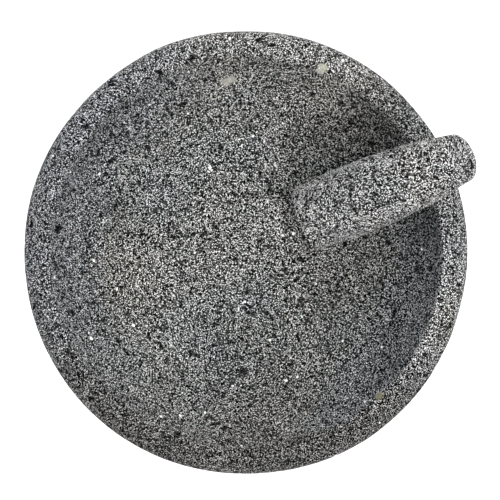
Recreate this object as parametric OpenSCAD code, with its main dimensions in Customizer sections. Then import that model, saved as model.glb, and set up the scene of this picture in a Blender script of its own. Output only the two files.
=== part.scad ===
// Molcajete: a carved basalt mortar on three legs, and its tejolote, the hand stone.
// The mortar is one stone: lip, basin, body and legs are cut from the same block.
// The tejolote is the second stone. It is loose, stands on its working end in the basin
// and leans on the inner edge of the lip.
// Millimetres, +Z up. The origin is the point below the basin's centre on the plane that
// the three feet rest on. The tejolote leans towards +X and a little towards +Y.

/* [Mortar body] */
// Height from the plane of the feet to the top of the lip
mortar_height = 120; // [110:1:150]
// Outside diameter of the lip, the widest place of the mortar
lip_diameter = 254; // [240:1:270]
// Radius of the outer wall's curve below the lip
outer_wall_r = 78; // [70:1:90]
// How far the outer wall's curve turns inwards below the lip, in degrees
outer_wall_turn = 48; // [40:1:55]
// Radius of the curve from the outer wall to the underside
under_corner_r = 22; // [15:1:30]
// Slope of the underside where it meets that curve, in degrees
under_slope = 5; // [2:1:8]

/* [Lip] */
// Width of the lip from its inner edge to its outer edge
lip_width = 17; // [14:0.2:19]
// Radius of the lip's inner edge
lip_edge_r = 3; // [1.5:0.5:4]
// Outward slope of the lip next to the inner edge, in degrees
lip_slope_in = 14; // [5:1:20]
// Outward slope of the lip next to the outer corner, in degrees
lip_slope_out = 50; // [40:1:55]
// Part of the lip's width that the outer corner takes
lip_corner_share = 0.16; // [0.12:0.01:0.25]

/* [Basin] */
// Depth of the basin below the lip's inner edge
basin_depth = 50; // [44:1:56]
// Radius of the curve where the floor turns up into the wall
basin_wall_r = 60; // [50:1:66]
// Slope of the basin's wall at the lip, in degrees
basin_wall_slope = 64; // [58:1:66]

/* [Legs] */
// Direction of the first leg, in degrees from +X
leg_azimuth = 30; // [0:5:115]
// Distance of each foot's centre from the mortar's axis
foot_circle_r = 76; // [70:1:82]
// Radius of the flat foot
foot_r = 17; // [13:0.5:20]
// Radius of the leg where it grows out of the body
leg_root_r = 33; // [27:1:36]
// How far the leg's cone runs up into the body, from the underside's outer edge
leg_root_depth = 13.4; // [10:0.2:17]
// Lean of each leg: its foot is further out than its root, in degrees
leg_lean = 9; // [0:1:12]

/* [Tejolote] */
// Length of the hand stone
tejolote_length = 114; // [108:1:122]
// Radius of its belly, the thickest place
belly_r = 21; // [19:0.5:23]
// Distance from the working end to the belly
belly_at = 38.5; // [34:0.5:44]
// Radius of the long barrel curve of its side
barrel_curve_r = 400; // [350:1:450]
// Rounding of the working end's rim
working_edge_r = 4; // [3:0.5:6]
// Rounding of the grip end
grip_edge_r = 2.5; // [2:0.5:6]
// Angle of the worn face on the upper half of the working end, in degrees
worn_angle = 23; // [10:1:28]
// Height of that face's lower edge above the stone's axis
worn_from = -3; // [-6:0.5:2]

/* [Rest pose] */
// Direction towards which the tejolote leans, in degrees from +X
lean_azimuth = 21.6; // [0:0.1:45]
// Sideways distance of the leaning tejolote from the basin's axis
lean_offset = 5; // [0:0.5:8]
// Horizontal distance from the basin's axis to the tejolote's contact on the floor
seat_x = 50; // [46:0.5:54]
// Gap left between the two stones where they rest on each other
rest_gap = 0.4; // [0.3:0.1:0.6]

/* [Hidden] */
$fn = 96;
ARC_STEP = 4;
LEG_COUNT = 3;
BASALT_GREY = [0.40, 0.40, 0.40];
TEJOLOTE_GREY = [0.50, 0.50, 0.50];

// Points along an arc about [cx, cy], from angle a to angle b
function arc(cx, cy, r, a, b) =
    let (n = max(2, ceil(abs(b - a) / ARC_STEP)))
    [for (i = [0:n]) let (t = a + (b - a) * i / n) [cx + r * cos(t), cy + r * sin(t)]];

// One of the two points at distance ra from a and rb from b: the one to the left of a-b
function two_circles(a, ra, b, rb) =
    let (d = norm(b - a))
    let (u = (b - a) / d)
    let (along = (ra * ra - rb * rb + d * d) / (2 * d))
    let (across = sqrt(ra * ra - along * along))
    a + u * along + [-u[1], u[0]] * across;

// Lip: the rounded inner edge, a crown that slopes outwards, and the outer corner
lip_r = lip_diameter / 2;
basin_r = lip_r - lip_width;
edge_cx = basin_r + lip_edge_r * sin(basin_wall_slope);
edge_cz = mortar_height - lip_edge_r;
corner_w = lip_width * lip_corner_share;
crown_x0 = edge_cx + lip_edge_r * sin(lip_slope_in);
crown_z0 = edge_cz + lip_edge_r * cos(lip_slope_in);
crown_r = (lip_r - corner_w - crown_x0) / (sin(lip_slope_out) - sin(lip_slope_in));
crown_cx = crown_x0 - crown_r * sin(lip_slope_in);
crown_cz = crown_z0 - crown_r * cos(lip_slope_in);
corner_r = corner_w / (1 - sin(lip_slope_out));
corner_cx = lip_r - corner_r;
corner_cz = crown_cz + (crown_r - corner_r) * cos(lip_slope_out);

// Outside: the wall's curve, the corner below it, and the shallow dome of the underside
wall_cx = lip_r - outer_wall_r;
under_cx = wall_cx + (outer_wall_r - under_corner_r) * cos(outer_wall_turn);
under_cz = corner_cz - (outer_wall_r - under_corner_r) * sin(outer_wall_turn);
under_x = under_cx + under_corner_r * sin(under_slope);
under_z = under_cz - under_corner_r * cos(under_slope);
dome_r = under_x / sin(under_slope);

// Basin: a wide floor curve that meets the wall's curve without a crease
bowl_top_z = edge_cz + lip_edge_r * cos(basin_wall_slope);
bend_cx = edge_cx - (lip_edge_r + basin_wall_r) * sin(basin_wall_slope);
bend_cz = edge_cz + (lip_edge_r + basin_wall_r) * cos(basin_wall_slope);
floor_z = bowl_top_z - basin_depth;
bend_h = bend_cz - floor_z;
floor_r = (bend_cx ^ 2 + bend_h ^ 2 - basin_wall_r ^ 2) / (2 * (bend_h - basin_wall_r));
floor_cz = floor_z + floor_r;
floor_turn = atan2(bend_cx, floor_cz - bend_cz);

// Leg: the height of its root, the length of its axis, and how far its cone runs past the
// plane that cuts it flat
leg_root_z = under_z + leg_root_depth;
leg_l = leg_root_z / cos(leg_lean);
leg_taper = (leg_root_r - foot_r) / leg_l;
leg_past = 2 * foot_r * tan(leg_lean);

// Tejolote outline, measured from the axis of the stone
side_cr = belly_r - barrel_curve_r;
working_turn = asin((belly_at - working_edge_r) / (barrel_curve_r - working_edge_r));
working_cr = side_cr + (barrel_curve_r - working_edge_r) * cos(working_turn);
grip_turn = asin((tejolote_length - grip_edge_r - belly_at) / (barrel_curve_r - grip_edge_r));
grip_cr = side_cr + (barrel_curve_r - grip_edge_r) * cos(grip_turn);

// Rest pose, in the upright plane through the tejolote's axis. The rounded edge of the
// working end touches the floor's curve, and the barrel's side touches the lip's edge.
floor_r_here = sqrt(floor_r ^ 2 - lean_offset ^ 2);
seat_reach = floor_r_here - working_edge_r - rest_gap;
seat = [seat_x, floor_cz - sqrt(seat_reach ^ 2 - seat_x ^ 2)];
lip_edge = [sqrt(edge_cx ^ 2 - lean_offset ^ 2), edge_cz];
side_reach = barrel_curve_r + lip_edge_r + rest_gap;
side_centre = two_circles(seat, barrel_curve_r - working_edge_r, lip_edge, side_reach);
to_side = side_centre - seat;
lean = atan2(to_side[1], to_side[0]) - atan2(working_cr - side_cr, belly_at - working_edge_r);
end_x = seat[0] - working_edge_r * cos(lean) - working_cr * sin(lean);
end_z = seat[1] - working_edge_r * sin(lean) + working_cr * cos(lean);

module block_outline() {
    polygon(concat(
        [[0, mortar_height]],
        [[edge_cx, mortar_height]],
        arc(edge_cx, edge_cz, lip_edge_r, 90, 90 - lip_slope_in),
        arc(crown_cx, crown_cz, crown_r, 90 - lip_slope_in, 90 - lip_slope_out),
        arc(corner_cx, corner_cz, corner_r, 90 - lip_slope_out, 0),
        arc(wall_cx, corner_cz, outer_wall_r, 0, -outer_wall_turn),
        arc(under_cx, under_cz, under_corner_r, -outer_wall_turn, under_slope - 90),
        arc(0, under_z + dome_r * cos(under_slope), dome_r, under_slope - 90, -90)
    ));
}

module basin_outline() {
    polygon(concat(
        arc(0, floor_cz, floor_r, -90, floor_turn - 90),
        arc(bend_cx, bend_cz, basin_wall_r, floor_turn - 90, basin_wall_slope - 90),
        arc(edge_cx, edge_cz, lip_edge_r, basin_wall_slope + 90, 90),
        [[edge_cx, mortar_height + 1], [0, mortar_height + 1]]
    ));
}

module leg() {
    root_x = foot_circle_r - leg_root_z * tan(leg_lean);
    intersection() {
        translate([root_x, 0, leg_root_z])
            rotate([0, 180 - leg_lean, 0])
                cylinder(h = leg_l + leg_past, r1 = leg_root_r, r2 = foot_r - leg_past * leg_taper);
        translate([0, -lip_r, 0])
            cube([lip_r, lip_diameter, mortar_height]);
    }
}

module tejolote_outline() {
    polygon(concat(
        [[0, 0]],
        arc(working_cr, working_edge_r, working_edge_r, -90, -working_turn),
        arc(side_cr, belly_at, barrel_curve_r, -working_turn, grip_turn),
        arc(grip_cr, tejolote_length - grip_edge_r, grip_edge_r, grip_turn, 90),
        [[0, tejolote_length]]
    ));
}

module mortar_bowl() {
    color(BASALT_GREY) difference() {
        union() {
            rotate_extrude() block_outline();
            for (i = [0:LEG_COUNT - 1]) {
                rotate([0, 0, leg_azimuth + i * 360 / LEG_COUNT]) leg();
            }
        }
        rotate_extrude() basin_outline();
    }
}

module tejolote() {
    color(TEJOLOTE_GREY)
        rotate([0, 0, lean_azimuth])
            translate([end_x, lean_offset, end_z])
                rotate([0, 90 - lean, 0])
                    difference() {
                        rotate_extrude() tejolote_outline();
                        translate([-worn_from, 0, 0])
                            rotate([0, worn_angle, 0])
                                translate([-belly_r * 2, -belly_r * 2, -belly_r * 2])
                                    cube([belly_r * 2, belly_r * 4, belly_r * 2]);
                    }
}

mortar_bowl();
tejolote();
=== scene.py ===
"""Looks of the molcajete: a carved basalt mortar on three legs, and its loose hand stone.

Each stone starts as its CAD node, is remeshed evenly, worn round at its edges, given the waviness
of hand carving and its open pores, and stands for that node. Metres, in the CAD model's frame.
"""

import itertools
import math

import bpy
import numpy as np
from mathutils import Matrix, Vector
from mathutils.kdtree import KDTree


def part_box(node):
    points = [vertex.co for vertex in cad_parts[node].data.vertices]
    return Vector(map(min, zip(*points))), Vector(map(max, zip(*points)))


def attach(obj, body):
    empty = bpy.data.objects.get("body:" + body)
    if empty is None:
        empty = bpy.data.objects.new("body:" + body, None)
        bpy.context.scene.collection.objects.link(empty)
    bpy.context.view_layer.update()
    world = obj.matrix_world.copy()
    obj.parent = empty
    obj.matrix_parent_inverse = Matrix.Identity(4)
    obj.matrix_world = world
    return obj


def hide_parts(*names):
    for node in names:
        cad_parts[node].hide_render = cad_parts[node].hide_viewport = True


MM = 0.001
NOISE_SHIFT = 4096.0  # added to every place in cells, so that no cell has a negative number

# Mortar
MORTAR_VOXEL = 1.0 * MM
MORTAR_SMOOTHING = 50  # passes
EDGE_WEAR = 0.08  # strength of the smoothing everywhere
ROOT_WEAR = 0.5  # and what is added to it around the legs' roots
LEG_ROOT_Z = 43 * MM  # height around which the legs flow into the body
LEG_ROOT_SPAN = 7 * MM
FOOT_EDGE = 2.5 * MM  # the feet stay flat below this height
MORTAR_WAVE = 1.1 * MM
MORTAR_PORES = 2600
MORTAR_PORE_RADII = (0.8 * MM, 2.2 * MM)
LIP_INNER_R = 110.5 * MM
MORTAR_GRAIN = 0.49 * MM
MORTAR_GAIN = 8.2  # brightness of the grains before the brightest are cut off

# Tejolote
TEJOLOTE_VOXEL = 0.75 * MM
TEJOLOTE_SMOOTHING = 5
TEJOLOTE_WEAR = 0.3
TEJOLOTE_WAVE = 0.7 * MM
TEJOLOTE_PORES = 700
TEJOLOTE_PORE_RADII = (0.7 * MM, 2.1 * MM)
TEJOLOTE_GRAIN = 0.56 * MM
TEJOLOTE_GAIN = 20.0
LEAN = 35.73  # its slope, in degrees
LEAN_AZIMUTH = 21.6  # the direction it leans towards, in degrees from +X
WORN_ANGLE = 23.0  # between the worn face and the end's plane, in degrees
WORN_POINT = (34.8 * MM, 19.2 * MM, 88.6 * MM)  # on the worn face
SEAT = (29 * MM, 17 * MM, 72 * MM)  # where it stands in the basin, and the middle of the painted contact shadow in front of it

# Basalt
GRAIN_CORE = 0.26  # size of a grain as a part of its cell
GRAIN_WHITE = 0.88  # the palest grains
CRYSTAL_WHITE = (0.58, 0.58, 0.565, 1)
FINE_PORES = (1.5 * MM, 0.3, 0.42)  # cell, share of the cells, largest radius as a part of the cell
PORE_SHADE = 0.06  # painted shade in the small pores: the brightness left there
DEEP_PORE_SHADE = 0.1  # and the painted shade in the large, carved ones
CHIP_DEPTH = 0.08 * MM
PORE_PALE_DEPTH = 0.12 * MM  # painted shade in a pore starts at this depth
PORE_DARK_DEPTH = 0.3 * MM  # and is darkest this much further down
INCLUSION_COVER = 0.7  # how far an inclusion hides the grains

# Studio: the camera looks straight down at the middle of the lip
LIP_RING_Z = 0.108
LENS_TO_LIP = 1.30
VIEW_WIDTH = 0.2842  # what the picture spans at the lip's widest ring
CAMERA_X = 0.0024  # the picture's middle is not quite the mortar's
CAMERA_Y = 0.0014
LIGHT_DISTANCE = 1.6
LIGHT_SIZE = 0.7
WORLD_LIGHT = 0.27
FLOOR_HALF = 10.0  # wide enough to fill low views up to their horizon

# Softboxes: name, azimuth and elevation in degrees, watts
SOFTBOXES = (
    ("key", 300, 45, 27.5),
    ("back", 90, 45, 15.5),
    ("left", 150, 45, 14.5),
    ("front", 270, 30, 9),
    ("low", 60, 14, 21),
    ("top", 0, 80, 9),
)

# Painted light and shade on the mortar, as paler and darker areas: centre, where each starts to
# fade and where it ends, in millimetres, and its brightness
PAINTED_LIGHT_AND_SHADE_PATCHES = (
    (-12, 30, 70, 20, 95, 1.12),
    (78, 72, 95, 15, 42, 0.84),
    (75, -31, 85, 8, 40, 0.85),
    (-77, 44, 85, 8, 36, 0.90),
    (54, 92, 110, 6, 22, 1.20),
)

# Cream and olive spots of the mortar: centre and half width in millimetres, and colour
INCLUSIONS = (
    (-11.0, 97.5, 101.4, 3.6, (0.27, 0.27, 0.235, 1)),
    (-8.0, 98.6, 102.7, 3.0, (0.25, 0.25, 0.22, 1)),
    (43.3, 104.0, 119.3, 3.4, (0.27, 0.27, 0.215, 1)),
    (41.3, 101.2, 117.5, 3.0, (0.29, 0.295, 0.26, 1)),
    (74.6, -79.8, 119.0, 3.6, (0.13, 0.125, 0.075, 1)),
)


# --- Noise and mesh helpers --------------------------------------------------------------------


def hashed(cells, seed):
    """A repeatable number from 0 to 1 for each whole-number cell."""
    x, y, z = (cells[:, i].astype(np.uint64) for i in range(3))
    h = x * np.uint64(73856093) ^ y * np.uint64(19349663) ^ z * np.uint64(83492791)
    h ^= np.uint64(seed) * np.uint64(2654435761)
    for shift in (33, 29, 32):
        h ^= h >> np.uint64(shift)
        h *= np.uint64(0xFF51AFD7ED558CCD)
    h ^= h >> np.uint64(31)
    return (h >> np.uint64(40)).astype(float) / float(1 << 24)


def noise(points, size, seed):
    """Smooth noise from -1 to 1 whose bumps are about size across."""
    grid = points / size + NOISE_SHIFT
    cell = np.floor(grid).astype(np.int64)
    part = grid - cell
    fade = part * part * (3.0 - 2.0 * part)
    total = np.zeros(len(points))
    for corner in itertools.product((0, 1), repeat=3):
        pick = np.array(corner)
        weight = np.prod(np.where(pick == 1, fade, 1.0 - fade), axis=1)
        total += weight * hashed(cell + pick, seed)
    return total * 2.0 - 1.0


def direction(azimuth, elevation):
    """The unit vector that points that way, with both angles in degrees."""
    a, e = math.radians(azimuth), math.radians(elevation)
    return Vector((math.cos(e) * math.cos(a), math.cos(e) * math.sin(a), math.sin(e)))


def remeshed(node, name, voxel):
    """An even, closed quad mesh of a CAD node, as a new object."""
    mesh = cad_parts[node].data.copy()
    mesh.materials.clear()
    ob = bpy.data.objects.new(name, mesh)
    bpy.context.scene.collection.objects.link(ob)
    mod = ob.modifiers.new("voxels", "REMESH")
    mod.mode = "VOXEL"
    mod.voxel_size = voxel
    mod.use_smooth_shade = True
    graph = bpy.context.evaluated_depsgraph_get()
    ob.data = bpy.data.meshes.new_from_object(ob.evaluated_get(graph))
    ob.modifiers.clear()
    ob.data.name = name
    return ob


def per_vertex(mesh, what):
    """Three numbers for each vertex: its "co" or its "normal"."""
    values = np.empty(len(mesh.vertices) * 3)
    mesh.vertices.foreach_get(what, values)
    return values.reshape(-1, 3)


def coordinates(mesh):
    return per_vertex(mesh, "co")


def set_coordinates(mesh, co):
    mesh.vertices.foreach_set("co", co.ravel())
    mesh.update()


def smooth(mesh, strength, passes):
    """Moves each vertex towards the middle of its neighbours, by its own strength."""
    co = coordinates(mesh)
    ends = np.empty(len(mesh.edges) * 2, dtype=np.int64)
    mesh.edges.foreach_get("vertices", ends)
    a, b = ends.reshape(-1, 2).T
    count = np.bincount(a, minlength=len(co)) + np.bincount(b, minlength=len(co))
    for _ in range(passes):
        near = np.empty_like(co)
        for i in range(3):
            near[:, i] = np.bincount(a, co[b, i], len(co)) + np.bincount(b, co[a, i], len(co))
        co += (near / count[:, None] - co) * strength[:, None]
    set_coordinates(mesh, co)


def pores(mesh, number, radii, seed):
    """Depth of the open pores at each vertex: hollows at seeded places, each of a few lobes."""
    co = coordinates(mesh)
    tree = KDTree(len(co))
    for i, p in enumerate(co):
        tree.insert(p, i)
    tree.balance()
    rng = np.random.default_rng(seed)
    depth = np.zeros(len(co))
    smallest, largest = radii
    for centre in co[rng.integers(0, len(co), number)]:
        # most pores are small
        radius = smallest + (largest - smallest) * rng.random() ** 3
        deepest = radius * rng.uniform(0.4, 0.8)
        for _ in range(rng.integers(1, 4)):
            lobe = radius * rng.uniform(0.5, 1.0)
            middle = centre + rng.normal(0.0, 0.45 * radius, 3)
            for _, i, away in tree.find_range(middle, lobe):
                depth[i] = max(depth[i], deepest * (1.0 - (away / lobe) ** 2))
    return depth


def carve(mesh, depth):
    """Moves each vertex inwards by its own depth, so the stone never grows past its CAD solid."""
    inwards = per_vertex(mesh, "normal") * np.maximum(depth, 0.0)[:, None]
    set_coordinates(mesh, coordinates(mesh) - inwards)


def waves(co, height, large, small, share, seed):
    """Depth of the waviness of hand carving: large bumps, and a share of small ones."""
    bumps = noise(co, large, seed) + share * noise(co, small, seed + 1)
    return height * (bumps + 1.0) / 2.0


def chips(co, size, seed):
    """Depth of the fine roughness that the tools leave."""
    rough = noise(co, size, seed) + 0.8 * noise(co, size * 0.43, seed + 1) + 0.6
    return CHIP_DEPTH * np.maximum(rough, 0.0)


def keep_pores(mesh, holes):
    """Stores how deep in a pore each vertex is, from 0 to 1, for the material to paint shade into
    the pores.
    """
    values = np.clip((holes - PORE_PALE_DEPTH) / PORE_DARK_DEPTH, 0.0, 1.0)
    mesh.attributes.new("pore", "FLOAT", "POINT").data.foreach_set("value", values)


# --- The two stones ----------------------------------------------------------------------------


def off_floor(co):
    """0 on the flat of the feet, 1 above their edge."""
    floor_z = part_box("mortar_bowl")[0].z
    return np.clip((co[:, 2] - floor_z) / FOOT_EDGE, 0.0, 1.0)


def make_mortar():
    ob = remeshed("mortar_bowl", "mortar", MORTAR_VOXEL)
    co = coordinates(ob.data)
    # the leg roots flow into the body; everything else only loses its sharp edges
    root = np.exp(-(((co[:, 2] - LEG_ROOT_Z) / LEG_ROOT_SPAN) ** 2))
    smooth(ob.data, (EDGE_WEAR + ROOT_WEAR * root) * off_floor(co), MORTAR_SMOOTHING)
    co = coordinates(ob.data)
    wave = waves(co, MORTAR_WAVE, 46 * MM, 17 * MM, 0.45, 1)
    holes = pores(ob.data, MORTAR_PORES, MORTAR_PORE_RADII, 5)
    carve(ob.data, (wave + chips(co, 6 * MM, 3) + holes) * off_floor(co))
    keep_pores(ob.data, holes)
    return ob


def make_tejolote():
    ob = remeshed("tejolote", "tejolote_stone", TEJOLOTE_VOXEL)
    smooth(ob.data, np.full(len(ob.data.vertices), TEJOLOTE_WEAR), TEJOLOTE_SMOOTHING)
    co = coordinates(ob.data)
    wave = waves(co, TEJOLOTE_WAVE, 24 * MM, 11 * MM, 0.4, 11)
    holes = pores(ob.data, TEJOLOTE_PORES, TEJOLOTE_PORE_RADII, 15)
    carve(ob.data, wave + chips(co, 5 * MM, 13) + holes)
    keep_pores(ob.data, holes)
    return ob


# --- Materials ---------------------------------------------------------------------------------


class Nodes:
    """Short calls for building one material's nodes."""

    def __init__(self, material):
        material.use_nodes = True
        self.tree = material.node_tree
        self.shader = self.tree.nodes["Principled BSDF"]

    def set(self, socket, value):
        if isinstance(value, bpy.types.NodeSocket):
            self.tree.links.new(value, socket)
        elif value is not None:
            socket.default_value = value

    def add(self, kind, **settings):
        node = self.tree.nodes.new(kind)
        for key, value in settings.items():
            setattr(node, key, value)
        return node

    def math(self, operation, a, b=None, c=None):
        node = self.add("ShaderNodeMath", operation=operation)
        for socket, value in zip(node.inputs, (a, b, c)):
            self.set(socket, value)
        return node.outputs[0]

    def product(self, *values):
        total = values[0]
        for value in values[1:]:
            total = self.math("MULTIPLY", total, value)
        return total

    def mix(self, factor, a, b, blend="MIX"):
        """Colour a, changing to colour b as the factor goes from 0 to 1."""
        node = self.add("ShaderNodeMix", data_type="RGBA", blend_type=blend)
        self.set(node.inputs[0], factor)
        self.set(node.inputs[6], a)
        self.set(node.inputs[7], b)
        return node.outputs[2]

    def range(self, value, low, high, to_low=0.0, to_high=1.0):
        """The value, stretched from low..high to to_low..to_high and cut off there."""
        node = self.add("ShaderNodeMapRange", clamp=True)
        for socket, number in zip(node.inputs, (value, low, high, to_low, to_high)):
            self.set(socket, number)
        return node.outputs[0]

    def cells(self, where, size):
        """Random cells about size across: distance from the cell's middle, and random numbers."""
        node = self.add("ShaderNodeTexVoronoi")
        self.set(node.inputs["Vector"], where)
        self.set(node.inputs["Scale"], 1.0 / size)
        split = self.add("ShaderNodeSeparateColor")
        self.set(split.inputs[0], node.outputs["Color"])
        return node.outputs["Distance"], split.outputs

    def clouds(self, where, size, detail=2.0):
        """Soft noise from 0 to 1 whose clouds are about size across."""
        node = self.add("ShaderNodeTexNoise")
        self.set(node.inputs["Vector"], where)
        self.set(node.inputs["Scale"], 1.0 / size)
        self.set(node.inputs["Detail"], detail)
        return node.outputs["Fac"]

    def shade(self, mask, factor):
        """1 where the mask is 0, and factor where it is 1."""
        return self.range(mask, 0.0, 1.0, 1.0, factor)

    def distance(self, where, middle):
        node = self.add("ShaderNodeVectorMath", operation="DISTANCE")
        self.set(node.inputs[0], where)
        self.set(node.inputs[1], middle)
        return node.outputs["Value"]

    def near(self, where, middle, inner, outer):
        """1 within inner of a point, falling to 0 at outer."""
        return self.range(self.distance(where, middle), inner, outer, 1.0, 0.0)

    def beyond(self, where, point, normal):
        """Signed distance from the plane through point, along its normal."""
        offset = self.add("ShaderNodeVectorMath", operation="SUBTRACT")
        self.set(offset.inputs[0], where)
        self.set(offset.inputs[1], point)
        along = self.add("ShaderNodeVectorMath", operation="DOT_PRODUCT")
        self.set(along.inputs[0], offset.outputs[0])
        self.set(along.inputs[1], normal)
        return along.outputs["Value"]


class AroundAxis:
    """Masks by distance from the mortar's axis and by direction around it."""

    def __init__(self, nodes, where):
        self.n = nodes
        split = nodes.add("ShaderNodeSeparateXYZ")
        nodes.set(split.inputs[0], where)
        self.x, self.y = split.outputs[0], split.outputs[1]
        squares = nodes.math("MULTIPLY_ADD", self.x, self.x, nodes.math("MULTIPLY", self.y, self.y))
        self.r = nodes.math("SQRT", squares)

    def towards(self, azimuth, full, fade):
        """1 within full degrees of that direction, falling to 0 at fade degrees."""
        a = math.radians(azimuth)
        along_y = self.n.math("MULTIPLY", self.y, math.sin(a))
        along = self.n.math("MULTIPLY_ADD", self.x, math.cos(a), along_y)
        cosine = self.n.math("DIVIDE", along, self.r)
        return self.n.range(cosine, math.cos(math.radians(fade)), math.cos(math.radians(full)))


def uneven(n, where, size, amount):
    """The place shifted by soft noise, which makes the outline of what is drawn there uneven."""
    warp = n.add("ShaderNodeTexNoise")
    n.set(warp.inputs["Vector"], where)
    n.set(warp.inputs["Scale"], 1.0 / size)
    shift = n.add("ShaderNodeVectorMath", operation="MULTIPLY_ADD")
    n.set(shift.inputs[0], warp.outputs["Color"])
    n.set(shift.inputs[1], (amount,) * 3)
    n.set(shift.inputs[2], where)
    return shift.outputs[0]


def pits(n, where, size, share, reach):
    """Small open pores of uneven outline, in a share of the cells."""
    away, pick = n.cells(uneven(n, where, size, 0.45 * size), size)
    radius = n.range(pick[1], 1.0 - share, 1.0, 0.0, reach)
    return n.range(n.math("SUBTRACT", radius, away), 0.0, 0.06)


def basalt_grey(n, where, grain, gain, hole):
    """Grains of every brightness in a dark matrix, with painted shade in the pores, and a random
    number for each grain."""
    away, pick = n.cells(where, grain)
    outwards = n.math("MULTIPLY", away, 1.0 / GRAIN_CORE)
    core = n.math("EXPONENT", n.product(outwards, outwards, -1.0))
    grey = n.math("MINIMUM", n.product(core, n.math("POWER", pick[0], 4.0), gain), GRAIN_WHITE)
    patch = n.range(n.clouds(where, 30 * MM, 3.0), 0.3, 0.7, 0.86, 1.14)
    # painted shade in the pores, darker the deeper they are
    deep = n.add("ShaderNodeAttribute", attribute_name="pore").outputs["Fac"]
    dark = n.product(n.shade(hole, PORE_SHADE), n.shade(deep, DEEP_PORE_SHADE))
    return n.product(grey, patch, dark), pick[0]


def crystals(n, where, size, share):
    """White crystals in a share of the cells, more of them small than large."""
    away, pick = n.cells(uneven(n, where, 1.3 * MM, 1.4 * MM), size)
    large = n.range(pick[2], 1.0 - share, 1.0)
    reach = n.math("MULTIPLY_ADD", n.math("MULTIPLY", large, large), 0.17, 0.03)
    inside = n.range(n.math("SUBTRACT", reach, away), 0.0, 0.03)
    return n.product(inside, n.math("GREATER_THAN", pick[2], 1.0 - share))


def coloured(n, grey, tint):
    """A grey value as a colour, multiplied by a tint."""
    colour = n.add("ShaderNodeCombineColor")
    for socket in colour.inputs:
        n.set(socket, grey)
    return n.mix(1.0, colour.outputs[0], tint, "MULTIPLY")


def stone_surface(n, where, grey, grain, hole, stone):
    """Colour, gloss and fine relief: pale grains are smoother, and the dark matrix is matt."""
    n.set(n.shader.inputs["Base Color"], stone)
    n.set(n.shader.inputs["Roughness"], n.range(grain, 0.0, 1.0, 0.95, 0.70))
    n.set(n.shader.inputs["Specular IOR Level"], n.range(grey, 0.0, 0.5, 0.02, 0.5))
    relief = n.math("ADD", n.math("MULTIPLY", grain, 0.3), n.clouds(where, 1.6 * MM))
    bump = n.add("ShaderNodeBump")
    n.set(bump.inputs["Strength"], 0.6)
    n.set(bump.inputs["Distance"], 0.25 * MM)
    n.set(bump.inputs["Height"], n.math("SUBTRACT", relief, hole))
    n.set(n.shader.inputs["Normal"], bump.outputs[0])


def mortar_basalt():
    """Grey porous basalt with a few inclusions, and painted light and shade: one side of the lip
    browner and painted darker, other areas of the lip, wall and basin painted paler or darker.
    """
    material = bpy.data.materials.new("mortar_basalt")
    n = Nodes(material)
    where = n.add("ShaderNodeTexCoord").outputs["Object"]
    hole = n.math("MAXIMUM", pits(n, where, 3.8 * MM, 0.5, 0.33), pits(n, where, *FINE_PORES))
    grey, grain = basalt_grey(n, where, MORTAR_GRAIN, MORTAR_GAIN, hole)
    # directions are in degrees from +X
    around = AroundAxis(n, where)
    lip = n.range(around.r, LIP_INNER_R - 1.5 * MM, LIP_INNER_R + 1.5 * MM)
    # painted light and shade: the lip darker and browner towards -Y, paler towards +X and +Y; the
    # wall darker, most towards +X, and paler towards +Y
    warm_painted_shade_lip = n.product(lip, around.towards(267, 35, 66))
    painted_light_lip = n.product(lip, around.towards(357, 12, 24))
    wall = n.product(n.range(around.r, 80 * MM, 100 * MM), n.math("SUBTRACT", 1.0, lip))
    painted_shade_wall = n.product(wall, around.towards(350, 12, 42))
    painted_light_back_lip = n.product(lip, around.towards(100, 15, 50))
    painted_light_back_wall = n.product(wall, around.towards(80, 20, 50))
    worn_normal = direction(LEAN_AZIMUTH, LEAN - WORN_ANGLE)
    # a painted contact shadow on the basin floor, just in front of the tejolote's worn face
    in_front = n.range(n.beyond(where, WORN_POINT, worn_normal), -16 * MM, -9.5 * MM)
    painted_contact_shadow = n.product(in_front, n.near(where, SEAT, 15 * MM, 25 * MM))
    # brightness factors of the painted light and shade, and of the painted contact shadow
    shades = (
        (lip, 1.03),
        (warm_painted_shade_lip, 0.57),
        (painted_light_lip, 1.28),
        (painted_light_back_lip, 1.12),
        (wall, 0.93),
        (painted_shade_wall, 0.73),
        (painted_light_back_wall, 1.15),
        (painted_contact_shadow, 0.66),
    )
    for mask, factor in shades:
        grey = n.product(grey, n.shade(mask, factor))
    # patches of painted light and shade on the lip, wall and basin floor
    for x, y, z, inner, outer, factor in PAINTED_LIGHT_AND_SHADE_PATCHES:
        mask = n.near(where, (x * MM, y * MM, z * MM), inner * MM, outer * MM)
        grey = n.product(grey, n.shade(mask, factor))
    warmth = n.range(n.clouds(where, 70 * MM), 0.35, 0.65)
    tint = n.mix(warmth, (0.98, 1.0, 1.02, 1), (1.02, 1.0, 0.96, 1))
    tint = n.mix(warm_painted_shade_lip, tint, (1.025, 1.0, 0.985, 1))
    # a painted cool tint of the light on the wall towards +X and on the lip and wall towards -X
    painted_cool_light_wall = n.product(wall, around.towards(335, 20, 45))
    painted_cool_light_side = n.product(n.math("MAXIMUM", lip, wall), around.towards(160, 25, 60))
    tint = n.mix(n.math("MAXIMUM", painted_cool_light_wall, painted_cool_light_side), tint, (0.98, 1.0, 1.07, 1))
    stone = coloured(n, grey, tint)
    stone = n.mix(crystals(n, where, 5.5 * MM, 0.38), stone, CRYSTAL_WHITE)
    for x, y, z, half_width, colour in INCLUSIONS:
        size = half_width * MM
        away = n.distance(where, (x * MM, y * MM, z * MM))
        edge = n.math("MULTIPLY", n.clouds(where, 2.2 * MM), 0.5 * size)
        inside = n.range(n.math("ADD", away, edge), 0.9 * size, 1.25 * size, 1.0, 0.0)
        stone = n.mix(n.math("MULTIPLY", inside, INCLUSION_COVER), stone, colour)
    stone_surface(n, where, grey, grain, hole, stone)
    return material


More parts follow.
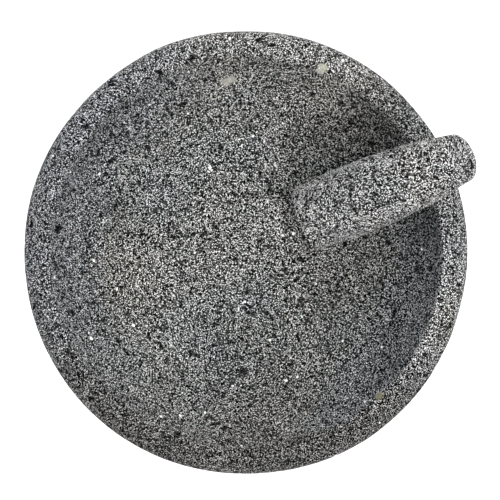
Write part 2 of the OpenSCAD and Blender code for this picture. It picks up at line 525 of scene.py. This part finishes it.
def tejolote_basalt():
    """The same basalt, a little paler all over."""
    material = bpy.data.materials.new("tejolote_basalt")
    n = Nodes(material)
    where = n.add("ShaderNodeTexCoord").outputs["Object"]
    # the grip keeps its open pores
    towards_grip = direction(LEAN_AZIMUTH, LEAN)
    grip = n.range(n.beyond(where, WORN_POINT, towards_grip), 30 * MM, 60 * MM)
    rough = n.product(pits(n, where, 2.2 * MM, 0.7, 0.42), grip)
    hole = n.math("MAXIMUM", rough, pits(n, where, *FINE_PORES))
    grey, grain = basalt_grey(n, where, TEJOLOTE_GRAIN, TEJOLOTE_GAIN, hole)
    warmth = n.range(n.clouds(where, 30 * MM), 0.35, 0.65)
    tint = n.mix(warmth, (0.99, 1.0, 1.01, 1), (1.02, 1.0, 0.99, 1))
    stone = coloured(n, grey, tint)
    stone = n.mix(crystals(n, where, 5.0 * MM, 0.45), stone, CRYSTAL_WHITE)
    stone_surface(n, where, grey, grain, hole, stone)
    return material


def plain_floor():
    """A pale, matt table top with a very faint cloudiness."""
    material = bpy.data.materials.new("floor_paper")
    n = Nodes(material)
    where = n.add("ShaderNodeTexCoord").outputs["Object"]
    shade = n.range(n.clouds(where, 0.4), 0.3, 0.7)
    n.set(n.shader.inputs["Base Color"], n.mix(shade, (0.90, 0.90, 0.90, 1), (0.93, 0.93, 0.93, 1)))
    n.set(n.shader.inputs["Roughness"], 0.95)
    return material


# --- Camera, floor and light -------------------------------------------------------------------


def make_camera():
    data = bpy.data.cameras.new("camera")
    camera = bpy.data.objects.new("camera", data)
    data.sensor_width = 36.0
    data.lens = data.sensor_width * LENS_TO_LIP / VIEW_WIDTH
    camera.location = (CAMERA_X, CAMERA_Y, LIP_RING_Z + LENS_TO_LIP)
    bpy.context.scene.collection.objects.link(camera)
    bpy.context.scene.camera = camera


def make_floor():
    mesh = bpy.data.meshes.new("floor")
    corners = [(FLOOR_HALF * x, FLOOR_HALF * y, 0) for x, y in ((-1, -1), (1, -1), (1, 1), (-1, 1))]
    mesh.from_pydata(corners, [], [(0, 1, 2, 3)])
    mesh.materials.append(plain_floor())
    floor = bpy.data.objects.new("floor", mesh)
    bpy.context.scene.collection.objects.link(floor)


def softbox(name, azimuth, elevation, power):
    """A square area light aimed at the mortar from that direction, in degrees."""
    data = bpy.data.lights.new(name, "AREA")
    data.size = LIGHT_SIZE
    data.energy = power
    light = bpy.data.objects.new(name, data)
    towards = direction(azimuth, elevation)
    light.location = Vector((0, 0, LIP_RING_Z)) + towards * LIGHT_DISTANCE
    light.rotation_euler = towards.to_track_quat("Z", "Y").to_euler()
    bpy.context.scene.collection.objects.link(light)


def make_lights():
    world = bpy.data.worlds.new("studio")
    bpy.context.scene.world = world
    world.use_nodes = True
    background = world.node_tree.nodes["Background"]
    background.inputs["Color"].default_value = (1, 1, 1, 1)
    background.inputs["Strength"].default_value = WORLD_LIGHT
    for name, azimuth, elevation, power in SOFTBOXES:
        softbox(name, azimuth, elevation, power)
    bpy.context.scene.view_settings.view_transform = "Standard"


# --- The scene ---------------------------------------------------------------------------------

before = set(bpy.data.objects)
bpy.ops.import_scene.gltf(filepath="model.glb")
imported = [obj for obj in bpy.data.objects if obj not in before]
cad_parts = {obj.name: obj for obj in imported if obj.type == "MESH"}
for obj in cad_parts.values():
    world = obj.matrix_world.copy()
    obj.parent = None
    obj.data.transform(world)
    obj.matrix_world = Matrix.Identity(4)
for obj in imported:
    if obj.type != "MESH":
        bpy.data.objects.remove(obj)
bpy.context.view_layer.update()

make_camera()
make_floor()
make_lights()

mortar = make_mortar()
mortar.data.materials.append(mortar_basalt())
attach(mortar, "mortar")
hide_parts("mortar_bowl")

hand_stone = make_tejolote()
hand_stone.data.materials.append(tejolote_basalt())
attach(hand_stone, "tejolote")
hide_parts("tejolote")
